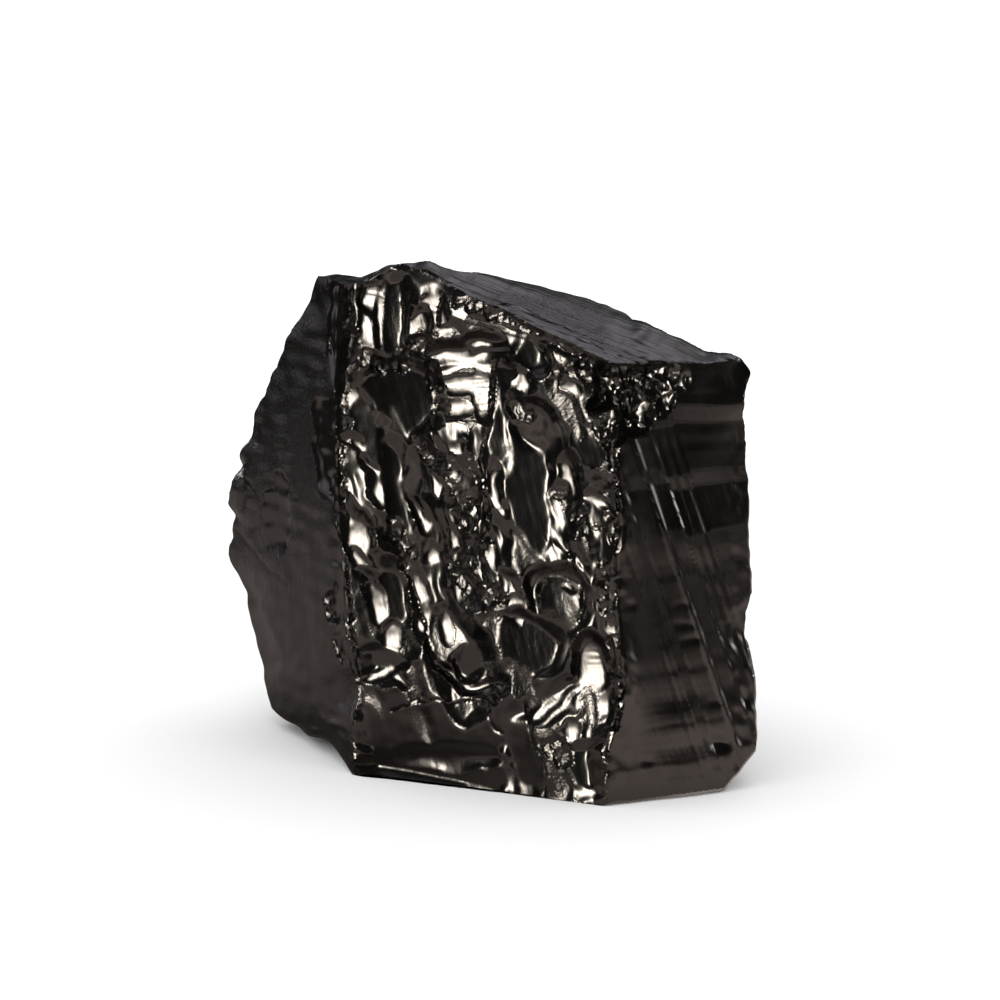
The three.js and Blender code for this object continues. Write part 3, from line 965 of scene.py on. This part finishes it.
# The top splits along fine straight lines with this heading, so its grain ignores most of the way along
# them. The back and the sides are gently uneven, with a fine grain that counts heights for less.
TOP_STRIAE = (0.880, -0.385, -0.284)
TOP_GRAIN = ((0.026, 0.8, 41), (0.055, 2.6, 42), (0.1, 6, 45))
TOP_IGNORED = 0.98
SIDE_GRAIN = ((0.05, 5, 44),)
UPRIGHT_GRAIN = ((0.02, 1.6, 43),)
UPRIGHT_SCALE = 0.25
# Spans of how far up, away from the eye, or not down a surface looks, over which its grain fades in.
TOP_SPAN = (0.85, 0.92)
AWAY_SPAN = (-0.1, 0.2)
ABOVE_BASE_SPAN = (-0.95, -0.8)


def surface_grain(places, outwards):
    """How far the finest relief lifts each point off the surface."""
    upward = smooth_step(outwards[:, 2], *TOP_SPAN)
    across = places - TOP_IGNORED * (places @ TOP_STRIAE)[:, None] * TOP_STRIAE
    top = layered_waves(across, TOP_GRAIN)
    upright = places * (1, 1, UPRIGHT_SCALE)
    side = layered_waves(upright, UPRIGHT_GRAIN) + layered_waves(places, SIDE_GRAIN)
    away = smooth_step(outwards @ FORWARD, *AWAY_SPAN) * smooth_step(outwards[:, 2], *ABOVE_BASE_SPAN)
    return upward * top + (1 - upward) * away * side


# Random waves that make the hollows' rims irregular, along each axis.
RIM_WAVES = [((0.7, 7, seed), (0.2, 2.2, seed + 3)) for seed in (31, 32, 33)]
# How squarely a surface faces the eye: the least where it is seen, the most where it is knocked, and
# the span over which the right face's relief fades in.
LEAST_SEEN = 0.02
MOST_KNOCKED = -0.3
RELIEF_SPAN = (0.1, 0.8)
# A surface that looks down more than this isn't knocked.
LEAST_KNOCKED_UP = -0.6
HIDDEN_CHIPPING = 0.3


def stone_points(flat_places, triangles):
    """The fine mesh's final points, and how finely chipped the surface is at each."""
    outwards = point_normals(flat_places, triangles)
    to_eye = EYE - flat_places
    to_eye /= np.linalg.norm(to_eye, axis=1)[:, None]
    facing = (outwards * to_eye).sum(axis=1)
    seen = facing > LEAST_SEEN
    places = flat_places.copy()
    offsets = np.column_stack([layered_waves(places, layers) for layers in RIM_WAVES])
    scoop_hollows(places, offsets)
    hidden = (facing < MOST_KNOCKED) & (outwards[:, 2] > LEAST_KNOCKED_UP)
    scoop_knocks(places, offsets, outwards, hidden)
    places += outwards * surface_grain(places, outwards)[:, None]
    x, y, depth = to_pixels(places)
    right, down = outline_shift(x, y)
    x, y = x + right, y + down
    chipped = np.full(len(x), HIDDEN_CHIPPING)
    numbers = np.cumsum(seen) - 1
    all_sides = np.concatenate([triangles[:, [0, 1]], triangles[:, [1, 2]], triangles[:, [2, 0]]])
    sides = numbers[all_sides[seen[all_sides].all(axis=1)]]
    carved, chipped[seen] = carve(x[seen], y[seen], depth[seen], sides)
    carved += right_face_relief(x[seen], y[seen]) * smooth_step(facing[seen], *RELIEF_SPAN)
    depth[seen] = carved
    places = from_pixels(x, y, depth)
    # nothing reaches below the table
    places[:, 2] = np.maximum(places[:, 2], 0)
    return places, chipped


def add_mesh(name, points_mm, faces):
    mesh = bpy.data.meshes.new(name)
    mesh.from_pydata((points_mm * MM).tolist(), [], faces)
    mesh.update()
    thing = bpy.data.objects.new(name, mesh)
    bpy.context.scene.collection.objects.link(thing)
    return thing


# Sides that meet at more than this show a sharp edge.
SHARP_ANGLE = radians(26)


def add_stone():
    flat_places, triangles = fine_mesh(*hull())
    places, chipped = stone_points(flat_places, triangles)
    stone = add_mesh("shungite_chunk", places, triangles.tolist())
    stone.data.shade_smooth()
    stone.data.set_sharp_from_angle(angle=SHARP_ANGLE)
    chipping = stone.data.attributes.new("chipping", "FLOAT", "POINT")
    chipping.data.foreach_set("value", chipped)
    return stone


# --- shader nodes


def set_inputs(tree, node, inputs):
    """Each input is a plain value, or another node's output to link from."""
    for name, value in inputs.items():
        if isinstance(value, bpy.types.NodeSocket):
            tree.links.new(value, node.inputs[name])
        else:
            node.inputs[name].default_value = value


def add_node(tree, kind, inputs, output=0, **settings):
    """Adds a node, and returns one of its outputs."""
    node = tree.nodes.new("ShaderNode" + kind)
    for name, value in settings.items():
        setattr(node, name, value)
    set_inputs(tree, node, inputs)
    return node.outputs[output]


def add_noise(tree, place, scale, detail):
    return add_node(tree, "TexNoise", {"Vector": place, "Scale": scale, "Detail": detail}, "Fac")


def add_part(tree, vector, axis):
    """The part of a vector along one axis."""
    return add_node(tree, "SeparateXYZ", {0: vector}, axis)


def add_math(tree, operation, first, second):
    return add_node(tree, "Math", {0: first, 1: second}, operation=operation)


def add_range(tree, value, span, result):
    """Maps a value from one span to another, and keeps it inside."""
    return add_node(tree, "MapRange", dict(enumerate((value, *span, *result))))


def add_mix(tree, kind, factor, first, second):
    return add_node(tree, "Mix", {"Factor": factor, "A": first, "B": second}, "Result", data_type=kind)


def add_ramp(tree, value, steps, reach, tint):
    """A smooth ramp of one colour in many strengths, over a value from 0 to 1 that stands for the reach."""
    color = add_node(tree, "ValToRGB", {0: value}, "Color")
    stops = color.node.color_ramp.elements
    for i, (at, strength) in enumerate(steps):
        stop = stops[i] if i < 2 else stops.new(1)
        stop.position = at / reach
        stop.color = (*(strength * part for part in tint), 1)
    return color


def add_mirror_switch(tree, plain, mirrored, output):
    """Shows one shader to the eye, and another to what mirrors it."""
    is_mirrored = add_node(tree, "LightPath", {}, "Is Glossy Ray")
    chosen = add_node(tree, "MixShader", {0: is_mirrored, 1: plain, 2: mirrored})
    tree.links.new(chosen, output.inputs["Surface"])


# --- the stone's material

DARK_CARBON = (0.0010, 0.0010, 0.0009, 1)
PALE_CARBON = (0.0028, 0.0026, 0.0023, 1)
SPECULAR_TINT = (1.0, 0.93, 0.89, 1)
IOR = 1.85

# Noise: how many waves to the metre, and how many finer layers it adds up.
CLOUDS = (260, 6)
SMUDGES = (420, 5)
PITS = (3400, 3)
STRIAE = (1700, 4)
# The spans of the noise that count.
CLOUD_SPAN = (0.4, 0.7)
SMUDGE_SPAN = (0.3, 0.7)
ROUGHNESS = (0.10, 0.20)
CHIPPED_ROUGHNESS = 0.06

# The bump's heights, in units of its distance, which is in metres: of the pits over a span of the
# chipping, and of the striae on the sides and on the top.
BUMP_DISTANCE = 0.0001
PIT_HEIGHT = (0.02, 0.7)
PIT_SPAN = (0.2, 1.1)
STRIA_HEIGHT = (0.25, 1.0)
# The sides' fine straight lines have this heading, and each set is drawn out along its own.
SIDE_STRIAE = (0.28, -0.12, -0.95)
SIDE_STRETCH = 14
TOP_STRETCH = 40
# The top is where the normal points up more than this.
LEAST_TOP_NORMAL = 0.8


def add_stretch(tree, place):
    """Draws the place out along the striae: those of the top where the surface looks up.

    Also returns 1 there and 0 elsewhere."""
    stretched = []
    for heading, stretch in ((SIDE_STRIAE, SIDE_STRETCH), (TOP_STRIAE, TOP_STRETCH)):
        turn = Vector(heading).to_track_quat("Z", "Y").to_euler()
        inputs = {"Vector": place, "Rotation": turn, "Scale": (1, 1, stretch)}
        stretched.append(add_node(tree, "Mapping", inputs, vector_type="TEXTURE"))
    upward = add_part(tree, add_node(tree, "NewGeometry", {}, "True Normal"), "Z")
    on_top = add_math(tree, "GREATER_THAN", upward, LEAST_TOP_NORMAL)
    return add_mix(tree, "VECTOR", on_top, *stretched), on_top


def shungite():
    material = bpy.data.materials.new("shungite")
    material.use_nodes = True
    tree = material.node_tree
    place = add_node(tree, "TexCoord", {}, "Object")
    rough = add_node(tree, "Attribute", {}, "Fac", attribute_name="chipping")
    clouds = add_range(tree, add_noise(tree, place, *CLOUDS), CLOUD_SPAN, (0, 1))
    polish = add_range(tree, add_noise(tree, place, *SMUDGES), SMUDGE_SPAN, ROUGHNESS)
    matt = add_math(tree, "MULTIPLY", rough, CHIPPED_ROUGHNESS)
    pit_height = add_range(tree, rough, PIT_SPAN, PIT_HEIGHT)
    pits = add_math(tree, "MULTIPLY", add_noise(tree, place, *PITS), pit_height)
    stretched, on_top = add_stretch(tree, place)
    stria_height = add_range(tree, on_top, (0, 1), STRIA_HEIGHT)
    striae = add_math(tree, "MULTIPLY", add_noise(tree, stretched, *STRIAE), stria_height)
    bump = {"Distance": BUMP_DISTANCE, "Strength": 1.0, "Height": add_math(tree, "ADD", pits, striae)}
    set_inputs(tree, tree.nodes["Principled BSDF"], {
        "Base Color": add_mix(tree, "RGBA", clouds, DARK_CARBON, PALE_CARBON),
        "Roughness": add_math(tree, "ADD", polish, matt),
        "Normal": add_node(tree, "Bump", bump, "Normal"),
        "IOR": IOR,
        "Specular Tint": SPECULAR_TINT,
    })
    return material


stone = add_stone()
stone.data.materials.append(shungite())
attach(stone, "root")
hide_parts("stone")

# --- floor and surroundings

# The pale table is a disc, set off so that the stone mirrors its far rim where the photo shows it.
FLOOR_MIDDLE = (32.0, -33.0, 0.0)
FLOOR_RADIUS = 168.0
FLOOR_SIDES = 128
FLOOR_LOOKS = {"Base Color": (0.93, 0.93, 0.93, 1), "Roughness": 0.9, "Specular IOR Level": 0.0}

# Painted reflection: what the stone mirrors of the table, from under the stone to the disc's rim: radius,
# and brightness. The dim part near the stone is its shadow, painted in.
PAINTED_TABLE_REFLECTION = (
    (0, 0.04), (24, 0.08), (36, 0.3), (43, 0.4), (115, 0.46), (135, 0.95), (190, 0.95), (205, 0.2),
)
# The same to the right of the stone, with less painted shade near it. Behind it the painted reflection is
# weaker.
PAINTED_REFLECTION_RIGHT = (
    (0, 0.4), (30, 0.48), (50, 0.7), (75, 0.7), (100, 0.44), (140, 0.24), (180, 0.1), (205, 0.04),
)
PAINTED_REFLECTION_BEHIND = 0.55
PAINTED_REFLECTION_REACH = 230.0
TABLE_TINT = (1.0, 0.87, 0.81)
# Where the painted reflection turns into the one to the right and the one behind, in metres.
RIGHT_SPAN = (-0.01, 0.015)
BEHIND_SPAN = (-0.01, 0.02)


def floor_material():
    material = bpy.data.materials.new("floor")
    material.use_nodes = True
    tree = material.node_tree
    shader = tree.nodes["Principled BSDF"]
    set_inputs(tree, shader, FLOOR_LOOKS)
    place = add_node(tree, "TexCoord", {}, "Object")
    radius = add_node(tree, "VectorMath", {0: place}, "Value", operation="LENGTH")
    share = add_math(tree, "DIVIDE", radius, PAINTED_REFLECTION_REACH * MM)
    # Painted reflection of the lit table, with painted shade near the stone and weaker behind it.
    painted_reflections = [add_ramp(tree, share, steps, PAINTED_REFLECTION_REACH, TABLE_TINT) for steps in (PAINTED_TABLE_REFLECTION, PAINTED_REFLECTION_RIGHT)]
    on_right = add_range(tree, add_part(tree, place, "X"), RIGHT_SPAN, (0, 1))
    strength = add_range(tree, add_part(tree, place, "Y"), BEHIND_SPAN, (1, PAINTED_REFLECTION_BEHIND))
    painted_reflection = {"Color": add_mix(tree, "RGBA", on_right, *painted_reflections), "Strength": strength}
    # Glossy rays see this emission instead of the lit floor: a painted reflection, with the stone's shadow
    # painted in.
    mirrored = add_node(tree, "Emission", painted_reflection)
    add_mirror_switch(tree, shader.outputs[0], mirrored, tree.nodes["Material Output"])
    return material


def add_floor():
    angles = np.arange(FLOOR_SIDES) * 2 * pi / FLOOR_SIDES
    rim = FLOOR_MIDDLE + FLOOR_RADIUS * np.column_stack([np.cos(angles), np.sin(angles), 0 * angles])
    floor = add_mesh("floor", rim, [tuple(range(FLOOR_SIDES))])
    floor.data.materials.append(floor_material())


def direction(azimuth, elevation):
    """From the stone: azimuth 0 is towards the main view's side, 90 is to its right."""
    a, e = radians(azimuth), radians(elevation)
    return np.array([sin(a) * cos(e), -cos(a) * cos(e), sin(e)])


# What lights the floor and shows behind it.
DAYLIGHT = (1.25, 1.25, 1.25, 1)
# What the stone mirrors of the surroundings: gloom, and soft round patches of light. Each patch has its
# middle's azimuth and elevation, its tint, and its brightness by degrees from the middle.
GLOOM = (0.016, 0.0155, 0.0135)
KEY_LIGHT = (
    (0, 22), (6, 19), (9, 11), (12, 4.5), (15, 1.8), (19, 0.7), (24, 0.24), (30, 0.06), (42, 0.01),
    (60, 0.004), (90, 0),
)
RIGHT_GLINT = ((0, 5), (5, 4), (9, 1), (13, 0.2), (18, 0.03), (24, 0))
LOW_GLINT = ((0, 0.4), (3, 0.36), (5, 0.27), (7, 0.19), (10, 0.1), (13, 0.04), (17, 0))
PATCHES = [
    (-42, 17, (1, 0.96, 0.87), KEY_LIGHT),
    (82, 12, (1, 0.98, 0.95), RIGHT_GLINT),
    (58, -10, (1, 0.89, 0.84), LOW_GLINT),
    (-122, 3, (0.95, 0.92, 1), ((0, 0.55), (7, 0.42), (11, 0.04), (15, 0))),
    (167, 41, (0.97, 0.95, 1.08), ((0, 0.95), (5, 0.78), (10, 0.38), (18, 0.08), (28, 0))),
    (-135, 50, (0.97, 0.95, 1.05), ((0, 0.45), (15, 0.3), (28, 0.04), (35, 0))),
    (138, 15, (1, 0.98, 0.94), ((0, 11), (7, 9), (11, 3), (16, 0.8), (25, 0.12), (40, 0))),
    (-160, 6, (1, 0.98, 0.94), ((0, 7), (4, 5), (8, 1), (11, 0.15), (14, 0))),
]


def add_world():
    world = bpy.data.worlds.new("studio")
    bpy.context.scene.world = world
    world.use_nodes = True
    tree = world.node_tree
    tree.nodes.clear()
    output = tree.nodes.new("ShaderNodeOutputWorld")
    heading = add_node(tree, "TexCoord", {}, "Generated")
    light = GLOOM
    for azimuth, elevation, tint, steps in PATCHES:
        towards = {0: heading, 1: direction(azimuth, elevation)}
        closeness = add_node(tree, "VectorMath", towards, "Value", operation="DOT_PRODUCT")
        angle = add_math(tree, "ARCCOSINE", closeness, 0)
        patch = add_ramp(tree, add_math(tree, "DIVIDE", angle, pi), steps, 180, tint)
        light = add_node(tree, "VectorMath", {0: patch, 1: light})
    plain = add_node(tree, "Background", {"Color": DAYLIGHT})
    mirrored = add_node(tree, "Background", {"Color": light})
    add_mirror_switch(tree, plain, mirrored, output)


def add_camera():
    data = bpy.data.cameras.new("main_view")
    data.lens = data.sensor_width * EYE_DISTANCE / FRAME_WIDTH
    camera = bpy.data.objects.new("main_view", data)
    basis = Matrix((RIGHTWARD, UPWARD, -FORWARD)).transposed()
    camera.matrix_world = Matrix.Translation(Vector(EYE * MM)) @ basis.to_4x4()
    bpy.context.scene.collection.objects.link(camera)
    bpy.context.scene.camera = camera


add_floor()
add_world()
add_camera()
bpy.context.scene.view_settings.view_transform = "Standard"
